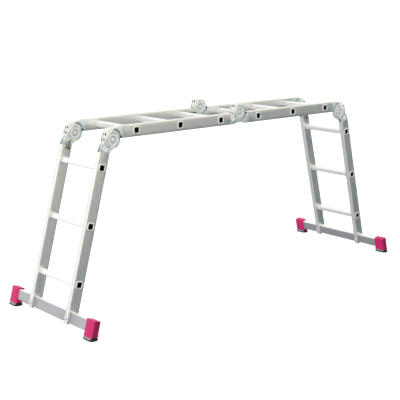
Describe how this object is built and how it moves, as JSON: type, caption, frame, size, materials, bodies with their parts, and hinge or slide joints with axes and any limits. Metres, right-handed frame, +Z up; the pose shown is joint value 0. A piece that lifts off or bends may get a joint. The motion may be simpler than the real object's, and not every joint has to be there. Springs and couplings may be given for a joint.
{
  "type": "multi position ladder",
  "caption": "Hinged multi position ladder of four rung sections, set up as a low work platform on two splayed legs with capped stabiliser bars and rubber feet.",
  "frame": {"origin": "on the floor, under the middle of the ladder", "axes": "+X along the ladder towards its right end, +Y across to the far side, +Z up"},
  "size_m": [2.2642, 0.723, 0.9898],
  "materials": {
    "stile_aluminium": "extruded, satin",
    "rung_aluminium": "extruded, satin",
    "bar_aluminium": "extruded, satin",
    "cap_plastic": "moulded crimson plastic",
    "foot_rubber": "moulded black rubber",
    "hinge_zinc": "bright zinc plated pressed steel",
    "disc_zinc": "bright zinc plated pressed steel",
    "rivet_steel": "zinc plated steel",
    "latch_yellow_zinc": "yellow passivated steel",
    "bolt_steel": "zinc plated steel"
  },
  "bodies": {
    "deck_left": {"deck_left_stile_near": "stile_aluminium", "deck_left_stile_far": "stile_aluminium", "deck_left_rung_1": "rung_aluminium", "deck_left_rung_2": "rung_aluminium", "deck_left_rung_3": "rung_aluminium", "hinge_left_near_inner_half": "disc_zinc", "hinge_left_far_inner_half": "disc_zinc", "hinge_middle_near_outer_half": "hinge_zinc", "hinge_middle_near_pivot_rivet": "rivet_steel", "hinge_middle_far_outer_half": "hinge_zinc", "hinge_middle_far_pivot_rivet": "rivet_steel"},
    "deck_right": {"deck_right_stile_near": "stile_aluminium", "deck_right_stile_far": "stile_aluminium", "deck_right_rung_1": "rung_aluminium", "deck_right_rung_2": "rung_aluminium", "deck_right_rung_3": "rung_aluminium", "hinge_middle_near_inner_half": "disc_zinc", "hinge_middle_far_inner_half": "disc_zinc", "hinge_right_near_inner_half": "disc_zinc", "hinge_right_far_inner_half": "disc_zinc"},
    "leg_left": {"leg_left_stile_near": "stile_aluminium", "leg_left_stile_far": "stile_aluminium", "leg_left_rung_1": "rung_aluminium", "leg_left_rung_2": "rung_aluminium", "leg_left_rung_3": "rung_aluminium", "leg_left_stabiliser_bar": "bar_aluminium", "leg_left_end_cap_near": "cap_plastic", "leg_left_foot_near": "foot_rubber", "leg_left_bar_bolt_near": "bolt_steel", "leg_left_end_cap_far": "cap_plastic", "leg_left_foot_far": "foot_rubber", "leg_left_bar_bolt_far": "bolt_steel", "hinge_left_near_outer_half": "hinge_zinc", "hinge_left_near_pivot_rivet": "rivet_steel", "hinge_left_far_outer_half": "hinge_zinc", "hinge_left_far_pivot_rivet": "rivet_steel"},
    "leg_right": {"leg_right_stile_near": "stile_aluminium", "leg_right_stile_far": "stile_aluminium", "leg_right_rung_1": "rung_aluminium", "leg_right_rung_2": "rung_aluminium", "leg_right_rung_3": "rung_aluminium", "leg_right_stabiliser_bar": "bar_aluminium", "leg_right_end_cap_near": "cap_plastic", "leg_right_foot_near": "foot_rubber", "leg_right_bar_bolt_near": "bolt_steel", "leg_right_end_cap_far": "cap_plastic", "leg_right_foot_far": "foot_rubber", "leg_right_bar_bolt_far": "bolt_steel", "hinge_right_near_outer_half": "hinge_zinc", "hinge_right_near_pivot_rivet": "rivet_steel", "hinge_right_far_outer_half": "hinge_zinc", "hinge_right_far_pivot_rivet": "rivet_steel"},
    "hinge_left_near_latch": {"hinge_left_near_latch": "latch_yellow_zinc"},
    "hinge_left_far_latch": {"hinge_left_far_latch": "latch_yellow_zinc"},
    "hinge_middle_near_latch": {"hinge_middle_near_latch": "latch_yellow_zinc"},
    "hinge_middle_far_latch": {"hinge_middle_far_latch": "latch_yellow_zinc"},
    "hinge_right_near_latch": {"hinge_right_near_latch": "latch_yellow_zinc"},
    "hinge_right_far_latch": {"hinge_right_far_latch": "latch_yellow_zinc"}
  },
  "joints": [
    {"name": "leg_left_fold", "type": "hinge", "parent": "deck_left", "child": "leg_left", "pos_m": [-0.84, 0, 0.87684], "axis": [0, -1, 0], "range_deg": [-75, 105]},
    {"name": "middle_fold", "type": "hinge", "parent": "deck_left", "child": "deck_right", "pos_m": [0, 0, 0.94284], "axis": [0, -1, 0], "range_deg": [0, 180]},
    {"name": "leg_right_fold", "type": "hinge", "parent": "deck_right", "child": "leg_right", "pos_m": [0.84, 0, 0.87684], "axis": [0, 1, 0], "range_deg": [-75, 105]},
    {"name": "hinge_left_near_lock", "type": "slide", "parent": "leg_left", "child": "hinge_left_near_latch", "axis": [0, -1, 0], "range_m": [0, 0.008]},
    {"name": "hinge_left_far_lock", "type": "slide", "parent": "leg_left", "child": "hinge_left_far_latch", "axis": [0, 1, 0], "range_m": [0, 0.008]},
    {"name": "hinge_middle_near_lock", "type": "slide", "parent": "deck_left", "child": "hinge_middle_near_latch", "axis": [0, -1, 0], "range_m": [0, 0.008]},
    {"name": "hinge_middle_far_lock", "type": "slide", "parent": "deck_left", "child": "hinge_middle_far_latch", "axis": [0, 1, 0], "range_m": [0, 0.008]},
    {"name": "hinge_right_near_lock", "type": "slide", "parent": "leg_right", "child": "hinge_right_near_latch", "axis": [0, -1, 0], "range_m": [0, 0.008]},
    {"name": "hinge_right_far_lock", "type": "slide", "parent": "leg_right", "child": "hinge_right_far_latch", "axis": [0, 1, 0], "range_m": [0, 0.008]}
  ]
}
